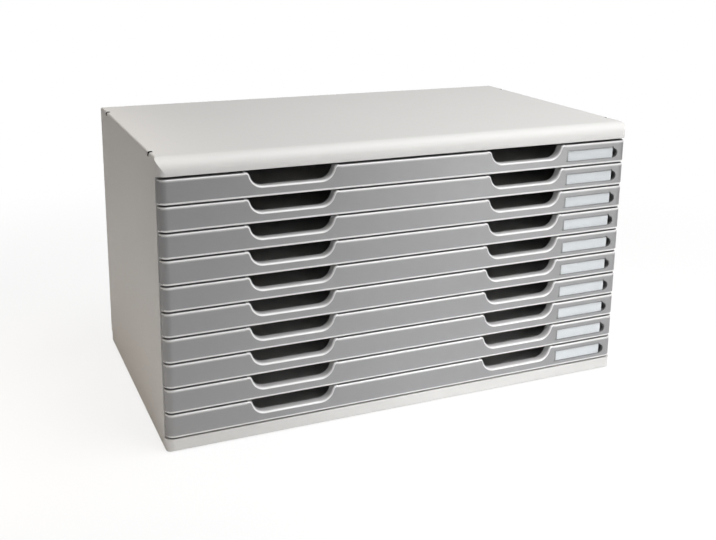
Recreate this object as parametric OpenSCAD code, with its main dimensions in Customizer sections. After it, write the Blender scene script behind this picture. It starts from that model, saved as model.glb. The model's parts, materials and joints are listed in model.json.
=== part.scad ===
// Desktop drawer unit: a moulded casing of base, two side panels, back panel
// and round-nosed lid, holding a stack of full-width drawers. Each drawer is a
// shallow tray behind a hollow front with two flanged finger recesses and a
// label pocket. X runs to the right, the front faces -Y and Z is up. The origin
// is on the table under the middle of the casing.

/* [Casing] */
// Overall width
case_w = 576; // [520:1:640]
// Overall depth, front face to rear
case_d = 330; // [300:1:400]
// Thickness of the side panels
side_t = 3.2; // [2.6:0.1:4]
// Thickness of the back panel
back_t = 3; // [2:0.1:4]
// Plan radius at the ends of the fronts, the lid and the base
corner_r = 9; // [7:0.5:10.5]
// Plan radius of the casing's rear corners
rear_r = 3; // [2:0.25:3]
// Clearance between pieces that slot together
fit = 0.2; // [0.1:0.05:0.3]

/* [Lid] */
// Height of the lid
lid_h = 18.6; // [18:0.2:26]
// Wall of the lid
lid_t = 2.8; // [2.2:0.1:3.4]
// Radius of the round nose along the lid's front
nose_r = 16; // [12:0.5:17.5]
// Radius along the lid's rear top edge
lid_rear_r = 8; // [5:0.5:10]
// Radius along the lid's side edges
lid_edge_r = 2.4; // [1:0.1:2.6]
// Height of the tongue that each side panel puts up inside the lid
tongue_h = 6; // [4:0.5:8]
// Thickness of that tongue
tongue_t = 2.5; // [2:0.1:3]
// Height of the rails that root the tongue and the tabs in a side panel
root_h = 4; // [3:0.5:4]
// Width of the snap slots in the lid's side edges
slot_w = 6; // [4:0.1:8]
// How far a snap slot reaches in over the lid's top
slot_reach = 4.6; // [4:0.1:6]
// Height of a snap slot
slot_h = 4.4; // [3.8:0.1:5]
// How far a snap hook stands above the sill of its slot
hook_bite = 1.2; // [0.8:0.1:1.4]
// Front snap slots, from the casing's front
slot_front = 38.7; // [34:0.1:60]
// Rear snap slots, from the casing's rear
slot_rear = 44; // [30:0.5:60]
// Thickness of the stiffening ribs under the lid and the base
rib_t = 2; // [1.4:0.1:2.6]
// Depth of the stiffening ribs under the lid
lid_rib_h = 7; // [4:0.5:8]
// Spacing of the lid's ribs that run front to back
lid_rib_x = 140; // [100:1:160]
// Distance of the lid's cross ribs from the middle
lid_rib_y = 65; // [50:1:80]

/* [Base] */
// Height of the base, from the table
base_h = 14.8; // [13:0.2:22]
// Wall of the base
base_t = 3; // [2.4:0.1:3.6]
// Radius along the base's lower edges
base_edge_r = 2; // [1:0.1:2.4]
// Plan radius of the base's rear corners
base_rear_r = 8; // [4:0.5:10]
// Length of each tab that a side panel puts down into the base
tab_l = 30; // [16:1:40]
// Depth of those tabs below the top of the base
tab_h = 7; // [5:0.5:8]
// Spacing of the tabs
tab_pitch = 110; // [80:1:120]
// Depth of the ribs under the base's top
base_rib_h = 7; // [4:0.5:8]

/* [Feet] */
// Diameter of a foot pad
foot_d = 22; // [16:1:26]
// Thickness of a foot pad
foot_t = 3; // [2.4:0.1:4]
// How far the pads stand out below the base
foot_out = 1; // [0.8:0.1:1.4]
// Wall of the cup that holds a pad
foot_wall = 3; // [2:0.1:4]
// Centre of a foot from the casing's sides, front and rear
foot_inset = 36; // [30:1:60]

/* [Drawer fronts] */
// Number of drawers
drawer_count = 10; // [4:1:12]
// Height of a drawer front
front_h = 27.1; // [26.5:0.1:36]
// Gap between fronts
drawer_gap = 1.3; // [0.8:0.1:2]
// Gap between the top front and the lid
lid_gap = 2.6; // [1.5:0.1:4]
// Depth of a front between the side panels
front_d = 11; // [11:0.5:16]
// Wall of a front
front_t = 2.2; // [1.8:0.1:2.6]
// Rounding of a front's edges and of the recesses' rims
edge_r = 2.2; // [1.2:0.1:2.4]
// How far a front's ends lie in from the casing's sides
end_inset = 1; // [0.5:0.1:2]
// Gap between a front's ends and the side panels behind them
end_gap = 0.6; // [0.4:0.1:1.5]
// Distance of the inner fixing pins from the middle
pin_inner = 30; // [20:1:40]
// Distance of the outer fixing pins from a front's ends
pin_end = 50; // [40:1:60]
// Diameter of the pins that fix a front to its tray
pin_d = 3.2; // [2.4:0.1:4]
// Thickness of the pins' heads inside the tray
pin_head = 1; // [0.6:0.1:1.4]

/* [Finger recesses] */
// Width of a recess's flat floor
recess_w = 65; // [45:0.5:68]
// Radius of a recess's lower corners
recess_r = 14.5; // [12:0.1:15]
// Radius where a recess meets the front's upper edge
flare_r = 4.5; // [2.6:0.1:5]
// Straight run of a recess's leaning side walls between those two rounds
recess_run = 3.6; // [1:0.1:4]
// Thickness of the flange round a recess
lip_t = 2; // [1.6:0.1:2.4]

/* [Labels] */
// Width of a label card
label_w = 64.8; // [50:0.2:66]
// Height of a label card
label_h = 12.2; // [10:0.2:13]
// Gap from a label card to the front's right end
label_end = 18.75; // [17:0.25:24]
// Gap from a label card to the upper end of the next recess
label_gap = 7; // [6:0.1:16]
// Centre of a label above the front's lower edge
label_z = 12.5; // [11:0.1:13.5]
// Room in a label pocket to the left of its card
pocket_side = 3.4; // [1:0.1:4]
// Room in a label pocket above its card
pocket_top = 1.6; // [0.5:0.1:2]
// Thickness of a label card
card_t = 0.4; // [0.3:0.05:0.6]
// Thickness of the clear window over a card
window_t = 1.2; // [0.8:0.1:1.4]
// How far the window lies below the front's face
window_sink = 0.4; // [0.2:0.1:0.6]
// Radius of the thumb hole at a label's right end
notch_r = 5.6; // [4:0.1:5.8]

/* [Trays] */
// Wall of a tray
tray_t = 2; // [1.6:0.1:2.4]
// Tray floor above the front's lower edge
tray_lift = 2; // [1.5:0.1:3]
// Tray rim below the front's upper edge
tray_drop = 3.2; // [2.8:0.1:4]
// Gap between a tray and the back panel
tray_rear_gap = 6; // [4:0.5:12]
// Radius of a tray's rear corners
tray_r = 6; // [4:0.5:10]
// Width of the flange that a tray slides on
flange_w = 4.2; // [3.6:0.1:5]
// Thickness of that flange
flange_t = 2; // [1.6:0.1:2.4]
// Length of the stop ear at the rear of a flange
ear_l = 12; // [8:0.5:20]

/* [Runners] */
// How far the runners stand out from a side panel
runner_w = 8; // [7:0.1:9]
// Thickness of a runner
runner_t = 2; // [1.6:0.1:2.2]
// Running clearance above and below a flange
run_gap = 0.3; // [0.2:0.05:0.5]
// Running clearance at the sides of a tray and its ears
side_gap = 0.8; // [0.5:0.1:1]
// How far a drawer slides out
travel = 240; // [150:1:260]
// Length of the block that stops a drawer
stop_l = 4; // [3:0.5:8]
// Gap left between the ear and its stop at full travel
stop_gap = 0.5; // [0.3:0.1:1]

/* [Hidden] */
$fn = 64;
over = 1;
drawer_pitch = front_h + drawer_gap;
case_h = base_h + drawer_count * drawer_pitch + lid_gap + lid_h;
lid_z = case_h - lid_h;
front_y = -case_d / 2;
rear_y = case_d / 2;
side_in = case_w / 2 - side_t;
side_y = front_y + corner_r + end_gap;
tongue_x = case_w / 2 - max(lid_t, base_t) - fit - tongue_t;
back_y = rear_y - max(lid_t, base_t) - fit - back_t;
groove_y = back_y - fit - rib_t;
front_tray_y = front_y + front_d;
tray_half = side_in - runner_w - side_gap;
tray_rear = back_y - tray_rear_gap;
tray_h = front_h - tray_lift - tray_drop;
flange_z = tray_lift + tray_h - flange_t;
ear_y = tray_rear - tray_r - ear_l;
stop_x = tray_half + flange_w + side_gap;
front_w = case_w - 2 * end_inset;
label_x = front_w / 2 - label_end - label_w / 2;
label_depth = window_sink + window_t + card_t;
recess_way = [0.352, 0.936];
recess_lean = asin(recess_way[0]);
recess_turn = 90 - recess_lean;
recess_side = (recess_r + flare_r) * recess_way[1] + recess_run * recess_way[0];
recess_x = label_x - label_w / 2 - label_gap - recess_w / 2 - recess_side;
recess_floor = front_h - (recess_r + flare_r) * (1 - recess_way[0]) - recess_run * recess_way[1];
wall_foot = [recess_w / 2 + recess_r * recess_way[1], recess_floor + recess_r * (1 - recess_way[0])];
flare_at = [recess_w / 2 + recess_side, front_h - flare_r];
boss_d = pin_d + 2 * front_t;
head_d = pin_d + front_t;
pin_z = recess_floor - lip_t;
pin_x = [pin_end - front_w / 2, -pin_inner, pin_inner, front_w / 2 - pin_end];
slot_y = [front_y + slot_front, rear_y - slot_rear];
hook_w = slot_w - 2 * fit;
foot_x = case_w / 2 - foot_inset;
foot_y = case_d / 2 - foot_inset;

function drawer_z(k) = base_h + drawer_gap + (drawer_count - k) * drawer_pitch;

CASING = ["lid", "base", "left_side", "right_side", "back_panel"];
FEET = ["foot_front_left", "foot_front_right", "foot_rear_left", "foot_rear_right"];
DRAWER = ["drawer_front_", "drawer_tray_", "label_card_", "label_window_"];

// What to take off a square corner at the origin to leave a round one
module corner_cut(r) {
    difference() {
        translate([-over, -over]) square(r + over);
        translate([r, r]) circle(r);
    }
}

// Plan of a casing piece: its width and depth with round corners
module plan(inset, front_radius, rear_radius) {
    w = case_w / 2 - inset;
    d = case_d / 2 - inset;
    difference() {
        square([2 * w, 2 * d], center = true);
        for (side = [0, 1]) mirror([side, 0]) {
            translate([-w, -d]) corner_cut(front_radius);
            translate([-w, d]) mirror([0, 1]) corner_cut(rear_radius);
        }
    }
}

// Draw a profile of Y and Z along X, centred
module along_x(length) rotate([90, 0, 90]) linear_extrude(length, center = true) children();

// Draw a profile of X and Z along Y, from one depth to another
module along_y(from, to) translate([0, to, 0]) rotate([90, 0, 0]) linear_extrude(to - from) children();

// Side view of the lid: round nose in front, smaller round at the rear
module lid_profile(inset) {
    difference() {
        translate([front_y + inset, -over]) square([case_d - 2 * inset, lid_h - inset + over]);
        translate([front_y + inset, lid_h - inset]) mirror([0, 1]) corner_cut(nose_r - inset);
        translate([rear_y - inset, lid_h - inset]) rotate(180) corner_cut(lid_rear_r - inset);
    }
}

// Front view of the lid: small rounds along its side edges
module lid_section() {
    difference() {
        translate([-case_w / 2, -over]) square([case_w, lid_h + over]);
        for (side = [0, 1]) mirror([side, 0])
            translate([-case_w / 2, lid_h]) mirror([0, 1]) corner_cut(lid_edge_r);
    }
}

module lid_outside() {
    intersection() {
        linear_extrude(lid_h) plan(0, corner_r, rear_r);
        along_x(case_w) lid_profile(0);
        along_y(front_y, rear_y) lid_section();
    }
}

module lid_inside() {
    intersection() {
        translate([0, 0, -over]) linear_extrude(lid_h + over) plan(lid_t, corner_r - lid_t, rear_r);
        along_x(case_w) lid_profile(lid_t);
    }
}

// Stiffening ribs in a grid: some across the casing, some front to back
module ribs(across, lengthwise, wall, height) {
    for (y = across)
        translate([-case_w / 2 + wall / 2, y - rib_t / 2, 0]) cube([case_w - wall, rib_t, height]);
    for (x = lengthwise)
        translate([x - rib_t / 2, front_y + wall / 2, 0]) cube([rib_t, case_d - wall, height]);
}

module lid() {
    rib_z = lid_h - lid_t - lid_rib_h;
    color("#cfcdc9") translate([0, 0, lid_z]) {
        difference() {
            lid_outside();
            difference() {
                lid_inside();
                translate([0, 0, rib_z])
                    ribs([-lid_rib_y, lid_rib_y], [-lid_rib_x, 0, lid_rib_x], lid_t, lid_rib_h + over);
            }
            for (y = slot_y) for (side = [-1, 1])
                translate([side * case_w / 2, y, lid_h])
                    cube([2 * slot_reach, slot_w, 2 * slot_h], center = true);
        }
    }
}

// A foot cup's centre for each corner
module at_feet() {
    for (x = [-foot_x, foot_x]) for (y = [-foot_y, foot_y]) translate([x, y, 0]) children();
}

// Upright section of the base, with rounds along its lower edges
module base_section(width) {
    difference() {
        translate([-width / 2, foot_out]) square([width, base_h - foot_out]);
        for (side = [0, 1]) mirror([side, 0]) translate([-width / 2, foot_out]) corner_cut(base_edge_r);
    }
}

module base_outside() {
    intersection() {
        linear_extrude(base_h) plan(0, corner_r, base_rear_r);
        along_x(case_w) base_section(case_d);
        along_y(front_y, rear_y) base_section(case_w);
    }
}

module base() {
    top = base_h - base_t;
    color("#d6d5d1") difference() {
        base_outside();
        difference() {
            translate([0, 0, -over])
                linear_extrude(top + over) plan(base_t, corner_r - base_t, base_rear_r - base_t);
            translate([0, 0, top - base_rib_h])
                ribs([-foot_y, foot_y], [-foot_x, 0, foot_x], base_t, base_rib_h + over);
            at_feet() translate([0, 0, foot_out]) cylinder(d = foot_d + 2 * foot_wall, h = base_h);
        }
        at_feet() cylinder(d = foot_d + 2 * fit, h = foot_t);
        for (y = [-tab_pitch, 0, tab_pitch]) for (side = [0, 1]) mirror([side, 0, 0])
            translate([tongue_x - fit, y - tab_l / 2 - fit, top - over])
                cube([tongue_t + 2 * fit, tab_l + 2 * fit, base_t + 2 * over]);
    }
}

// Plan of a side panel: a plate with a groove for the back panel at its rear
module side_plan() {
    difference() {
        union() {
            translate([side_in, side_y]) square([side_t, rear_y - side_y]);
            translate([side_in - runner_w, groove_y]) square([runner_w + over, rib_t]);
            translate([side_in - runner_w, back_y + back_t + fit])
                square([runner_w + over, rear_y - back_y - back_t - fit]);
        }
        translate([case_w / 2, rear_y]) rotate(180) corner_cut(rear_r);
    }
}

// Section through the runners of every drawer: a ledge under the tray's flange and a keeper over it
module runner_section() {
    for (k = [1:drawer_count])
        for (z = [flange_z - run_gap - runner_t, flange_z + flange_t + run_gap])
            translate([side_in - runner_w, drawer_z(k) + z]) square([runner_w + over, runner_t]);
}

// Blocks in the runners that the trays' ears meet at full travel
module stops() {
    for (k = [1:drawer_count])
        translate([stop_x, ear_y - travel - stop_gap - stop_l, drawer_z(k) + flange_z - run_gap - over])
            cube([side_in - stop_x + over, stop_l, flange_t + 2 * run_gap + 2 * over]);
}

// Tongue and snap hooks inside the lid, and tabs down into the base
module side_joints() {
    tongue_y = slot_y[0] - hook_w;
    sill = lid_h - slot_h;
    translate([tongue_x, tongue_y, lid_z - root_h])
        cube([tongue_t, slot_y[1] + hook_w - tongue_y, tongue_h + root_h]);
    for (y = slot_y) translate([tongue_x, y - hook_w / 2, lid_z]) {
        cube([tongue_t, hook_w, sill + hook_bite]);
        translate([0, 0, sill + fit]) cube([case_w / 2 - lid_t / 2 - tongue_x, hook_w, hook_bite - fit]);
    }
    for (y = [-tab_pitch, 0, tab_pitch])
        translate([tongue_x, y - tab_l / 2, base_h - tab_h]) cube([tongue_t, tab_l, tab_h + root_h]);
    for (z = [base_h, lid_z - root_h])
        translate([tongue_x, front_tray_y + over, z])
            cube([side_in - tongue_x + over, groove_y - front_tray_y, root_h]);
}

module side_panel() {
    translate([0, 0, base_h]) linear_extrude(lid_z - base_h) side_plan();
    along_y(front_tray_y + over, groove_y + over) runner_section();
    stops();
    side_joints();
}

module left_side() color("#a39d96") mirror([1, 0, 0]) side_panel();

module right_side() color("#a39d96") side_panel();

module back_panel() {
    half = side_in - fit;
    color("#a39d96") translate([-half, back_y, base_h])
        cube([2 * half, back_t, lid_z + tongue_h - base_h]);
}

module foot(x, y) color("#3a3a3c") translate([x, y, 0]) cylinder(d = foot_d, h = foot_t);

// A flat shape and its mirror image
module both_sides() for (side = [0, 1]) mirror([side, 0]) children();

// The sector that a recess's wall turns through, with its centre at the origin
module turn_sector(reach) {
    polygon([[0, 0], [0, -reach], reach * [tan(recess_turn / 2), -1],
             reach * [recess_way[1], -recess_way[0]]]);
}

// What to take off a sharp corner of a recess to leave a round one
module turn_cut(r) {
    difference() {
        turn_sector(r + over);
        circle(r);
    }
}

// A trough with leaning walls: a floor, and a point and a length that set its right wall
module trough(floor_z, foot, reach) {
    intersection() {
        low = foot - reach * recess_way;
        high = foot + reach * recess_way;
        polygon([low, high, [-high[0], high[1]], [-low[0], low[1]]]);
        translate([-front_w / 2, floor_z]) square([front_w, 2 * front_h]);
    }
}

// Outline of a finger recess, open at the top, seen from the front
module recess_outline() {
    difference() {
        trough(recess_floor, wall_foot, recess_r);
        both_sides() translate([recess_w / 2, recess_floor + recess_r]) turn_cut(recess_r);
    }
    both_sides() translate(flare_at) rotate(180) turn_cut(flare_r);
}

// Outline of the flange round a recess
module lip_outline() {
    r = recess_r + lip_t;
    centre = [recess_w / 2, recess_floor + recess_r];
    difference() {
        trough(recess_floor - lip_t, centre + r * [recess_way[1], -recess_way[0]], r);
        both_sides() translate(centre) turn_cut(r);
    }
}

// Turn a profile about a line that runs into the front, as far as a recess's wall turns
module turn_in(reach) {
    intersection() {
        rotate([-90, 0, 0]) rotate_extrude() children();
        along_y(-2 * over, 2 * edge_r) turn_sector(reach);
    }
}

// What to take off a recess's rim to round it: straight runs and turns in a row
module recess_rim() {
    translate([0, front_y, 0]) {
        translate([0, 0, recess_floor]) along_x(recess_w) mirror([0, 1]) corner_cut(edge_r);
        for (side = [0, 1]) mirror([side, 0, 0]) {
            translate([recess_w / 2, 0, recess_floor + recess_r])
                turn_in(recess_r + 2 * edge_r) translate([recess_r, 0]) corner_cut(edge_r);
            translate([wall_foot[0], 0, wall_foot[1]])
                rotate([0, recess_lean, 0]) linear_extrude(recess_run) corner_cut(edge_r);
            translate([flare_at[0], 0, flare_at[1]]) rotate([0, 180, 0])
                turn_in(flare_r + 2 * edge_r) translate([flare_r, 0]) mirror([1, 0]) corner_cut(edge_r);
        }
    }
}

// Thumb hole at a label's right end, grown all round
module thumb_outline(grow) translate([label_w / 2, 0]) circle(notch_r + grow);

// Outline of a label pocket, grown all round
module pocket_outline(grow) {
    translate([-label_w / 2 - pocket_side - grow, -label_h / 2 - grow])
        square([label_w + pocket_side + 2 * grow, label_h + pocket_top + 2 * grow]);
    thumb_outline(grow);
}

// Bar of a front: its section runs straight between two quarter turns at the ends
module front_outside() {
    along_x(front_w - 2 * corner_r) difference() {
        translate([front_y, 0]) square([front_d, front_h]);
        translate([front_y, 0]) corner_cut(edge_r);
        translate([front_y, front_h]) mirror([0, 1]) corner_cut(edge_r);
    }
    for (side = [0, 1]) mirror([side, 0, 0])
        translate([front_w / 2 - corner_r, front_y + corner_r, 0]) rotate([0, 0, -90])
            rotate_extrude(angle = 90) difference() {
                square([corner_r, front_h]);
                translate([corner_r, 0]) mirror([1, 0]) corner_cut(edge_r);
                translate([corner_r, front_h]) rotate(180) corner_cut(edge_r);
            }
}

// Hollow of a front, open at the rear
module front_inside() {
    h = front_h - 2 * front_t;
    r = corner_r - front_t;
    translate([0, 0, front_t]) {
        along_x(front_w - 2 * corner_r - 2 * front_t)
            translate([front_y + front_t, 0]) square([front_d, h]);
        for (side = [0, 1]) mirror([side, 0, 0])
            translate([front_w / 2 - corner_r, front_y + corner_r, 0]) {
                rotate([0, 0, -90]) rotate_extrude(angle = 90) square([r, h]);
                cube([r, over, h]);
            }
    }
}

module at_recesses() for (x = [-recess_x, recess_x]) translate([x, 0, 0]) children();

module at_label() translate([label_x, 0, label_z]) children();

module at_pins() for (x = pin_x) translate([x, 0, pin_z]) children();

// A round bar that runs into the front, between two depths
module bar_in(d, from, to) translate([0, from, 0]) rotate([-90, 0, 0]) cylinder(d = d, h = to - from);

module drawer_front(k) {
    face_y = front_y + front_t;
    color("#94949a") translate([0, 0, drawer_z(k)]) {
        difference() {
            front_outside();
            difference() {
                front_inside();
                at_recesses() along_y(front_y, front_tray_y + over) lip_outline();
                at_label() along_y(front_y, face_y + label_depth) pocket_outline(front_t);
                at_pins() bar_in(boss_d, front_y + over, front_tray_y + over);
            }
            at_recesses() along_y(front_y - over, front_tray_y + over) recess_outline();
            at_recesses() recess_rim();
            at_label() {
                along_y(front_y - over, front_y + label_depth) pocket_outline(fit);
                along_y(front_y - over, face_y + label_depth + over) thumb_outline(fit);
            }
        }
        at_pins() {
            bar_in(pin_d, front_tray_y - over, front_tray_y + tray_t + pin_head);
            bar_in(head_d, front_tray_y + tray_t, front_tray_y + tray_t + pin_head);
        }
    }
}

// Plan of a tray, inset for its inside
module tray_plan(inset) {
    w = tray_half - inset;
    difference() {
        translate([-w, front_tray_y + inset]) square([2 * w, tray_rear - front_tray_y - 2 * inset]);
        for (side = [0, 1]) mirror([side, 0])
            translate([-w, tray_rear - inset]) mirror([0, 1]) corner_cut(tray_r - inset);
    }
}

module drawer_tray(k) {
    color("#b9b8b6") translate([0, 0, drawer_z(k)]) difference() {
        union() {
            translate([0, 0, tray_lift]) linear_extrude(tray_h) tray_plan(0);
            for (side = [0, 1]) mirror([side, 0, 0]) translate([tray_half - tray_t / 2, 0, flange_z]) {
                translate([0, front_tray_y, 0])
                    cube([tray_t / 2 + flange_w, tray_rear - tray_r - front_tray_y, flange_t]);
                translate([0, ear_y, 0])
                    cube([side_in - side_gap - tray_half + tray_t / 2, ear_l, flange_t]);
            }
        }
        translate([0, 0, tray_lift + tray_t]) linear_extrude(tray_h) tray_plan(tray_t);
        at_recesses() along_y(front_tray_y - over, front_tray_y + tray_t + over) lip_outline();
        at_pins() bar_in(pin_d + 2 * fit, front_tray_y - over, front_tray_y + tray_t + over);
    }
}

// A flat piece of a label, between two depths behind the front's face
module label_layer(k, from, to) {
    translate([0, 0, drawer_z(k)]) at_label()
        along_y(front_y + from, front_y + to) square([label_w, label_h], center = true);
}

module label_card(k) color("#dfe4e6") label_layer(k, window_sink + window_t, label_depth);

module label_window(k) color("#e8eef0", 0.4) label_layer(k, window_sink, window_sink + window_t);

lid();
base();
left_side();
right_side();
back_panel();
foot(-foot_x, -foot_y);  // foot_front_left
foot(foot_x, -foot_y);  // foot_front_right
foot(-foot_x, foot_y);  // foot_rear_left
foot(foot_x, foot_y);  // foot_rear_right
for (k = [1:drawer_count]) {
    drawer_front(k);
    drawer_tray(k);
    label_card(k);
    label_window(k);
}
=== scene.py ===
"""Desktop drawer unit: finishes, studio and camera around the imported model."""
import json
import math

import bpy
from mathutils import Matrix, Vector

MM = 0.001
IMAGE_W = 716
IMAGE_H = 540

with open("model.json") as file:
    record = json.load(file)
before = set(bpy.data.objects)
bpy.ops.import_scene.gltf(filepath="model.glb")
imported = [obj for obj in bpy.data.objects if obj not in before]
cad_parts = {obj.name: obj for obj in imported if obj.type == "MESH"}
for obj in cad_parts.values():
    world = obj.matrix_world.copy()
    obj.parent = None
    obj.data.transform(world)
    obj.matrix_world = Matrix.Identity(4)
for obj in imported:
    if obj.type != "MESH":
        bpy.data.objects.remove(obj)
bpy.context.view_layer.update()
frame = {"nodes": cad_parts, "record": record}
nodes = frame["nodes"]


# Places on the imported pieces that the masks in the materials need

X, Y, Z = range(3)


def extent(name, axis):
    """Lowest and highest place of a piece along one axis of the shared frame."""
    places = [vertex.co[axis] for vertex in nodes[name].data.vertices]
    return min(places), max(places)


def opening_span(name, axis):
    """Start and end of one of the record's openings along one axis."""
    openings = {entry["name"]: entry["box_m"] for entry in frame["record"]["physics"]["openings"]}
    low, high = openings[name]
    return low[axis], high[axis]


# The lid's snap slots: where their middles lie from its front and rear, and sizes just over those of the cut
SLOT_FRONT = 38.7 * MM
SLOT_REAR = 44 * MM
SLOT_HALF = 3.02 * MM
SLOT_REACH = 4.7 * MM
SLOT_DEPTH = 4.6 * MM
lid_end = extent("lid", X)[1]
lid_front, lid_rear = extent("lid", Y)
lid_top = extent("lid", Z)[1]
slot_places = (lid_front + SLOT_FRONT, lid_rear - SLOT_REAR)

# The drawer fronts, of which drawer 10's is the lowest: depths behind the face where the painted highlight
# on a flange fades, the plain length at each end, and how far a recess's rim reaches and fades past its
# opening
FLANGE_FRONT = 9.6 * MM
FLANGE_REAR = 10.8 * MM
END_MARGIN = 17 * MM
RIM_REACH = 15.5 * MM
RIM_FADE = 3 * MM
front_face = extent("drawer_front_10", Y)[0]
front_end = extent("drawer_front_10", X)[1]
front_foot, front_head = extent("drawer_front_10", Z)
front_height = front_head - front_foot
front_pitch = extent("drawer_front_9", Z)[0] - front_foot
recess_start, recess_end = opening_span("drawer_10_right_finger_recess", X)
recess_middle = (recess_start + recess_end) / 2
rim_half = (recess_end - recess_start) / 2 + RIM_REACH

# Heights over a front's foot between which the painted highlight lines along its edges fade
HEAD_FADE = (front_height - 3.8 * MM, front_height - 0.6 * MM)
FOOT_FADE = (3.0 * MM, 2.2 * MM)

# Turns of a front's surface that bound its painted highlight: parts of its normal, all squared but the last
TURN_FADE = (0.005, 0.07)
LEAST_FORWARD = 0.01
ROUND_LIMIT = 0.60
FACING_DOWN = -0.5


# Node helpers for materials

NOISE_LOW = 0.3
NOISE_HIGH = 0.7


def new_material(name):
    """A material with its Principled shader."""
    material = bpy.data.materials.new(name)
    material.use_nodes = True
    tree = material.node_tree
    return material, tree, tree.nodes["Principled BSDF"]


def add_node(tree, kind, **inputs):
    """Add a node and set or link its inputs by name."""
    node = tree.nodes.new(kind)
    for name, value in inputs.items():
        connect(tree, value, node.inputs[name.replace("_", " ")])
    return node


def connect(tree, value, socket):
    """Set a socket to a value, or link it where the value is another node's output."""
    if isinstance(value, bpy.types.NodeSocket):
        tree.links.new(value, socket)
    else:
        socket.default_value = value


def maths(tree, operation, *values):
    """One step of arithmetic."""
    node = tree.nodes.new("ShaderNodeMath")
    node.operation = operation
    for value, socket in zip(values, node.inputs):
        connect(tree, value, socket)
    return node.outputs[0]


def off_by(tree, value, middle):
    """How far a value is from a middle value."""
    return maths(tree, "ABSOLUTE", maths(tree, "SUBTRACT", value, middle))


def above(tree, value, limit):
    """A mask that is 1 above a limit."""
    return maths(tree, "GREATER_THAN", value, limit)


def below(tree, value, limit):
    """A mask that is 1 below a limit."""
    return maths(tree, "LESS_THAN", value, limit)


def both(tree, first, second):
    """Where two masks overlap."""
    return maths(tree, "MULTIPLY", first, second)


def either(tree, first, second):
    """Where at least one of two masks is."""
    return maths(tree, "MAXIMUM", first, second)


def ramp(tree, value, start, end, low=0.0):
    """A low value up to the start, 1 from the end on, and smooth between them."""
    node = add_node(tree, "ShaderNodeMapRange", Value=value, From_Min=start, From_Max=end, To_Min=low)
    node.interpolation_type = "SMOOTHSTEP"
    return node.outputs["Result"]


def object_place(tree):
    """A point's place in its piece's own coordinates, which are the shared frame's at rest."""
    return add_node(tree, "ShaderNodeTexCoord").outputs["Object"]


def axes(tree, vector):
    """The three parts of a vector."""
    return add_node(tree, "ShaderNodeSeparateXYZ", Vector=vector).outputs


def noise(tree, size, detail=2.0):
    """Noise whose features are about one size across, in metres."""
    node = add_node(tree, "ShaderNodeTexNoise", Vector=object_place(tree), Scale=1 / size, Detail=detail)
    return node.outputs["Fac"]


def spread(tree, fac, low=0.0, high=1.0):
    """Turn a noise that keeps near its middle into a value from low to high."""
    node = add_node(tree, "ShaderNodeMapRange", Value=fac, From_Min=NOISE_LOW, From_Max=NOISE_HIGH,
                    To_Min=low, To_Max=high)
    return node.outputs["Result"]


def relief(tree, height, strength, depth):
    """The normal of a surface with a fine relief."""
    bump = add_node(tree, "ShaderNodeBump", Height=height, Strength=strength, Distance=depth)
    return bump.outputs["Normal"]


def blend_colours(tree, fac, first, second):
    """Mix two colours."""
    node = tree.nodes.new("ShaderNodeMix")
    node.data_type = "RGBA"
    connect(tree, fac, node.inputs["Factor"])
    for socket, value in zip((s for s in node.inputs if s.type == "RGBA"), (first, second)):
        connect(tree, value, socket)
    return next(s for s in node.outputs if s.type == "RGBA")


def shade(colour, factor):
    """A colour made lighter or darker."""
    return tuple(min(1.0, c * factor) for c in colour[:3]) + (1.0,)


def vary(tree, fac, colour, low, high):
    """A colour that runs from a low to a high shade of itself."""
    return blend_colours(tree, fac, shade(colour, low), shade(colour, high))


def mix_shaders(tree, fac, first, second):
    """The first shader where the factor is 0, and the second where it is 1."""
    node = add_node(tree, "ShaderNodeMixShader", Fac=fac)
    tree.links.new(first.outputs[0], node.inputs[1])
    tree.links.new(second.outputs[0], node.inputs[2])
    return node.outputs["Shader"]


# Masks for painted highlight and painted shade

def front_edge_highlights(tree):
    """Painted highlight: 1 along a front's upper and lower edges and its recesses' rims and flanges, and 0
    elsewhere.
    """
    facing = axes(tree, add_node(tree, "ShaderNodeNewGeometry").outputs["Normal"])
    sideways, forward, upward = (maths(tree, "MULTIPLY", part, part) for part in facing)
    place = axes(tree, object_place(tree))
    across = maths(tree, "ABSOLUTE", place["X"])
    off_recess = off_by(tree, across, recess_middle)

    # Rims and flanges turn away from the face and get the painted highlight; the front's ends turn away too,
    # but stay plain
    inner = below(tree, across, front_end - END_MARGIN)
    turned = ramp(tree, maths(tree, "MULTIPLY_ADD", sideways, inner, upward), *TURN_FADE)
    near = ramp(tree, place["Y"], front_face + FLANGE_REAR, front_face + FLANGE_FRONT)
    flange = both(tree, below(tree, off_recess, rim_half), above(tree, facing["Z"], FACING_DOWN))
    rounded = both(tree, above(tree, forward, LEAST_FORWARD), below(tree, upward, ROUND_LIMIT))
    rims = both(tree, both(tree, turned, near), either(tree, flange, rounded))

    # The painted highlight line along the upper edge stops at the recesses, and the one along the lower edge
    # runs through
    height = maths(tree, "WRAP", maths(tree, "SUBTRACT", place["Z"], front_foot), front_pitch, 0.0)
    beside_recess = ramp(tree, off_recess, rim_half - RIM_FADE, rim_half + RIM_FADE)
    head = both(tree, ramp(tree, height, *HEAD_FADE), beside_recess)
    foot = ramp(tree, height, *FOOT_FADE)
    lines = both(tree, either(tree, head, foot), above(tree, forward, 1 - ROUND_LIMIT))
    return either(tree, rims, lines)


def slot_shade_mask(tree):
    """Painted shade: 1 inside the snap slots in the lid's side edges, with the hooks in them, and 0
    elsewhere.
    """
    place = axes(tree, object_place(tree))
    off_slot = maths(tree, "MINIMUM", *(off_by(tree, place["Y"], slot) for slot in slot_places))
    outer = above(tree, maths(tree, "ABSOLUTE", place["X"]), lid_end - SLOT_REACH)
    upper = above(tree, place["Z"], lid_top - SLOT_DEPTH)
    return both(tree, below(tree, off_slot, SLOT_HALF), both(tree, outer, upper))


# Materials

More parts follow.
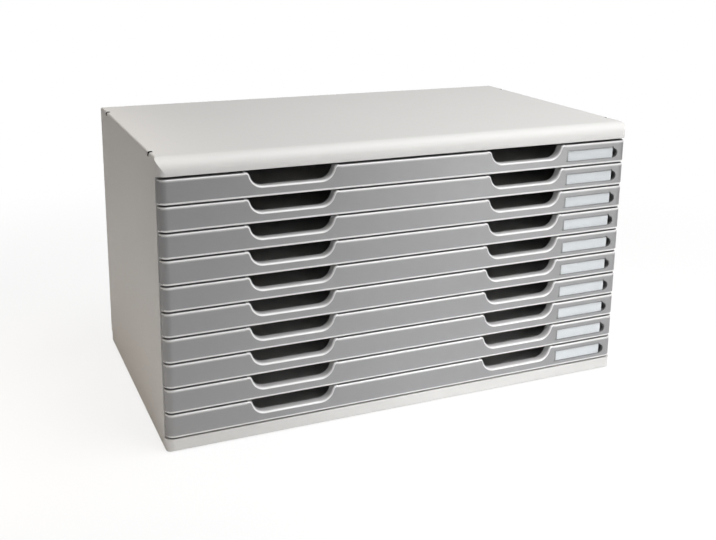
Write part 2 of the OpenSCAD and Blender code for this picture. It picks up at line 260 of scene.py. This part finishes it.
CASING = (0.630, 0.626, 0.616, 1.0)
# Painted shade for the inside of the lid's snap slots and the hooks in them
SLOT_SHADE = (0.020, 0.020, 0.020, 1.0)
FRONT = (0.170, 0.171, 0.177, 1.0)
# Painted highlight for the drawer fronts' edges, rims and flanges
FRONT_EDGE_HIGHLIGHT = (0.700, 0.700, 0.700, 1.0)
TRAY = (0.520, 0.518, 0.512, 1.0)
CARD = (0.740, 0.732, 0.742, 1.0)
WINDOW = (0.970, 0.985, 0.990, 1.0)
RUBBER = (0.030, 0.030, 0.032, 1.0)

FLOW_SIZE = 90 * MM
SPECK_SIZE = 1.6 * MM
SPECK_CONTRAST = 1.5
GLOSS_SIZE = 6 * MM
GLOSS_SWING = 0.04
FIBRE_SIZE = 0.7 * MM
FIBRE_DEPTH = 0.03 * MM
CLOUD_SIZE = 14 * MM
WAVE_SIZE = 18 * MM
WAVE_DEPTH = 0.05 * MM
SCUFF_SIZE = 2.5 * MM
WINDOW_IOR = 1.46
PEBBLE_SIZE = 1.2 * MM
PEBBLE_DEPTH = 0.2 * MM
EVENLY = 0.5


def moulded_plastic(name, colour, roughness, ior, grain, depth, mottle, overlay=None):
    """Injection-moulded plastic: a fine sparked grain, faint flow mottling and uneven gloss.

    An overlay is a mask and the colour that it lays over the plastic; here that is painted shade in the
    lid's snap slots and painted highlight on the drawer fronts' edges.
    """
    material, tree, bsdf = new_material(name)
    flow = spread(tree, noise(tree, FLOW_SIZE, detail=3.0))
    speck = spread(tree, noise(tree, SPECK_SIZE))
    fleck = SPECK_CONTRAST * mottle
    body = vary(tree, flow, colour, 1 - mottle, 1 + mottle)
    flecked = vary(tree, speck, colour, 1 - fleck, 1 + fleck)
    tone = blend_colours(tree, EVENLY, body, flecked)
    if overlay:
        mask, second = overlay
        # Lay the overlay's painted light over the plastic's tone
        tone = blend_colours(tree, mask(tree), tone, second)
    uneven = noise(tree, GLOSS_SIZE, detail=4.0)
    gloss = spread(tree, uneven, roughness - GLOSS_SWING, roughness + GLOSS_SWING)
    sparked = relief(tree, noise(tree, grain, detail=3.0), strength=0.5, depth=depth)
    connect(tree, tone, bsdf.inputs["Base Color"])
    connect(tree, gloss, bsdf.inputs["Roughness"])
    connect(tree, sparked, bsdf.inputs["Normal"])
    connect(tree, ior, bsdf.inputs["IOR"])
    return material


def card_paper(name, colour):
    """Uncoated label card with fibres and a slightly uneven tone."""
    material, tree, bsdf = new_material(name)
    fibres = spread(tree, noise(tree, FIBRE_SIZE, detail=5.0))
    cloud = spread(tree, noise(tree, CLOUD_SIZE))
    tone = vary(tree, fibres, colour, low=0.96, high=1.02)
    tint = vary(tree, cloud, colour, low=0.97, high=1.03)
    connect(tree, blend_colours(tree, EVENLY, tone, tint), bsdf.inputs["Base Color"])
    connect(tree, spread(tree, fibres, low=0.82, high=0.95), bsdf.inputs["Roughness"])
    connect(tree, relief(tree, fibres, strength=0.3, depth=FIBRE_DEPTH), bsdf.inputs["Normal"])
    return material


def clear_plastic(name, colour):
    """Thin clear strip, faintly wavy and finely scuffed, that lets light reach the card behind it."""
    material, tree, bsdf = new_material(name)
    tree.nodes.remove(bsdf)
    waves = relief(tree, noise(tree, WAVE_SIZE), strength=0.2, depth=WAVE_DEPTH)
    scuffs = spread(tree, noise(tree, SCUFF_SIZE, detail=6.0), low=0.05, high=0.15)
    gloss = add_node(tree, "ShaderNodeBsdfGlossy", Roughness=scuffs, Normal=waves)
    clear = add_node(tree, "ShaderNodeBsdfTransparent", Color=colour)
    shine = add_node(tree, "ShaderNodeFresnel", IOR=WINDOW_IOR, Normal=waves).outputs["Fac"]
    outside = maths(tree, "SUBTRACT", 1.0, add_node(tree, "ShaderNodeNewGeometry").outputs["Backfacing"])
    strip = mix_shaders(tree, maths(tree, "MULTIPLY", shine, outside), clear, gloss)
    tree.links.new(strip, tree.nodes["Material Output"].inputs["Surface"])
    return material


def foot_rubber(name, colour):
    """Matt rubber with a pebbled face."""
    material, tree, bsdf = new_material(name)
    pebbles = noise(tree, PEBBLE_SIZE, detail=3.0)
    tone = vary(tree, spread(tree, pebbles), colour, low=0.8, high=1.25)
    connect(tree, tone, bsdf.inputs["Base Color"])
    connect(tree, spread(tree, pebbles, low=0.75, high=0.9), bsdf.inputs["Roughness"])
    connect(tree, relief(tree, pebbles, strength=0.6, depth=PEBBLE_DEPTH), bsdf.inputs["Normal"])
    return material


finish = {
    # The casing's overlay paints shade into its snap slots, and the fronts' overlay paints highlights along
    # their edges
    "casing": moulded_plastic("casing_plastic", CASING, roughness=0.50, ior=1.45, grain=0.9 * MM,
                              depth=0.05 * MM, mottle=0.012, overlay=(slot_shade_mask, SLOT_SHADE)),
    "drawer_front": moulded_plastic("front_plastic", FRONT, roughness=0.44, ior=2.35, grain=0.7 * MM,
                                    depth=0.03 * MM, mottle=0.015, overlay=(front_edge_highlights, FRONT_EDGE_HIGHLIGHT)),
    "drawer_tray": moulded_plastic("tray_plastic", TRAY, roughness=0.45, ior=1.5, grain=0.7 * MM,
                                   depth=0.02 * MM, mottle=0.015),
    "label_card": card_paper("label_card", CARD),
    "label_window": clear_plastic("label_window", WINDOW),
    "foot": foot_rubber("foot_rubber", RUBBER),
}


# Pieces

CARD_SLACK = 0.05 * MM


def settle_card(card):
    """Draw a card's faces in by a hair, so that air lies between it and its window."""
    slack = card.modifiers.new("slack", "DISPLACE")
    slack.direction = "NORMAL"
    slack.mid_level = 0.0
    slack.strength = -CARD_SLACK


for entry in frame["record"]["subparts"]:
    piece = nodes[entry["node"]]
    piece.material_slots[0].material = finish[entry["material_slot"]]
    if entry["material_slot"] == "label_card":
        settle_card(piece)


# Studio

WHITE = (1.0, 1.0, 1.0, 1.0)
WARM_WHITE = (1.0, 0.955, 0.905, 1.0)
LAMP_WARM = (1.0, 0.87, 0.74, 1.0)
DOME_LIGHT = 0.15
FLOOR_WHITE = (0.90, 0.90, 0.90, 1.0)
FLOOR_SIZE = 12.0
FLOOR_GLOW = 0.80
FADE_FROM = 0.55
FADE_TO = 1.10
MIDDLE = (0.0, 0.0, lid_top / 2)


def build_world():
    """Even dome light, with a white backdrop where the camera sees it."""
    world = bpy.data.worlds.new("studio")
    bpy.context.scene.world = world
    world.use_nodes = True
    tree = world.node_tree
    dome = tree.nodes["Background"]
    dome.inputs["Color"].default_value = WARM_WHITE
    dome.inputs["Strength"].default_value = DOME_LIGHT
    backdrop = add_node(tree, "ShaderNodeBackground", Color=WHITE, Strength=1.0)
    seen = add_node(tree, "ShaderNodeLightPath").outputs["Is Camera Ray"]
    tree.links.new(mix_shaders(tree, seen, dome, backdrop), tree.nodes["World Output"].inputs["Surface"])


def floor_finish():
    """Matt white that the camera sees fade into the backdrop away from the object."""
    material, tree, bsdf = new_material("floor_white")
    bsdf.inputs["Base Color"].default_value = FLOOR_WHITE
    bsdf.inputs["Roughness"].default_value = 1.0
    bsdf.inputs["Specular IOR Level"].default_value = 0.0
    reach = tree.nodes.new("ShaderNodeVectorMath")
    reach.operation = "LENGTH"
    tree.links.new(add_node(tree, "ShaderNodeNewGeometry").outputs["Position"], reach.inputs[0])
    fade = ramp(tree, reach.outputs["Value"], FADE_FROM, FADE_TO, FLOOR_GLOW)
    seen = add_node(tree, "ShaderNodeLightPath").outputs["Is Camera Ray"]
    glow = add_node(tree, "ShaderNodeEmission", Color=WHITE, Strength=1.0)
    surface = mix_shaders(tree, maths(tree, "MULTIPLY", fade, seen), bsdf, glow)
    tree.links.new(surface, tree.nodes["Material Output"].inputs["Surface"])
    return material


def build_floor():
    """A pale floor that keeps the object's shadow."""
    half = FLOOR_SIZE / 2
    corners = [(-half, -half, 0), (half, -half, 0), (half, half, 0), (-half, half, 0)]
    mesh = bpy.data.meshes.new("floor")
    mesh.from_pydata(corners, [], [(0, 1, 2, 3)])
    mesh.materials.append(floor_finish())
    floor = bpy.data.objects.new("floor", mesh)
    bpy.context.scene.collection.objects.link(floor)


def add_softbox(name, place, target, size, power, spread_angle=180, tint=WHITE):
    """A square area lamp that points at a target, with a grid in front of it where its spread is narrow."""
    lamp = bpy.data.lights.new(name, "AREA")
    lamp.shape = "SQUARE"
    lamp.size = size
    lamp.energy = power
    lamp.spread = math.radians(spread_angle)
    lamp.color = tint[:3]
    piece = bpy.data.objects.new(name, lamp)
    piece.location = place
    piece.rotation_euler = (Vector(target) - Vector(place)).to_track_quat("-Z", "Y").to_euler()
    piece.visible_camera = False
    bpy.context.scene.collection.objects.link(piece)


build_world()
build_floor()
add_softbox("key", (0.55, -0.90, 0.20), MIDDLE, size=0.2, power=1.3)
add_softbox("overhead", (0.65, -0.57, 1.8), MIDDLE, size=1.6, power=43)
add_softbox("left_fill", (-1.50, 0.50, 0.60), MIDDLE, size=0.8, power=0.6, tint=LAMP_WARM)
add_softbox("left_floor", (-0.62, 0.03, 0.80), (-0.50, 0.03, 0.0), size=0.5, power=0.36, spread_angle=35,
            tint=LAMP_WARM)
add_softbox("front_floor", (0.18, -0.80, 0.70), (0.08, -0.34, 0.0), size=0.3, power=0.26, spread_angle=42)
add_softbox("rear_fill", (0.30, 1.50, 0.13), MIDDLE, size=0.3, power=9)


# Camera

CAMERA_AZIMUTH = -23.756
CAMERA_ELEVATION = 13.363
CAMERA_ROLL = 0.683
CAMERA_PLACE = Vector((-484.4, -1105.3, 535.3)) * MM
FOCAL_PIXELS = 979.2
AXIS_PIXEL_Y = 170
SENSOR = 36.0


def build_camera():
    """A camera at the photograph's place, with its optical axis above the frame's middle."""
    azimuth = math.radians(CAMERA_AZIMUTH)
    elevation = math.radians(CAMERA_ELEVATION)
    back = Vector((math.sin(azimuth) * math.cos(elevation),
                   -math.cos(azimuth) * math.cos(elevation),
                   math.sin(elevation)))
    level = (-back).to_track_quat("-Z", "Y").to_matrix()
    turn = level @ Matrix.Rotation(math.radians(CAMERA_ROLL), 3, "Z")
    data = bpy.data.cameras.new("camera")
    data.sensor_width = SENSOR
    data.lens = FOCAL_PIXELS / IMAGE_W * SENSOR
    data.shift_y = -(IMAGE_H / 2 - AXIS_PIXEL_Y) / IMAGE_W
    camera = bpy.data.objects.new("camera", data)
    camera.matrix_world = Matrix.Translation(CAMERA_PLACE) @ turn.to_4x4()
    bpy.context.scene.collection.objects.link(camera)
    bpy.context.scene.camera = camera


build_camera()
bpy.context.scene.view_settings.view_transform = "Standard"
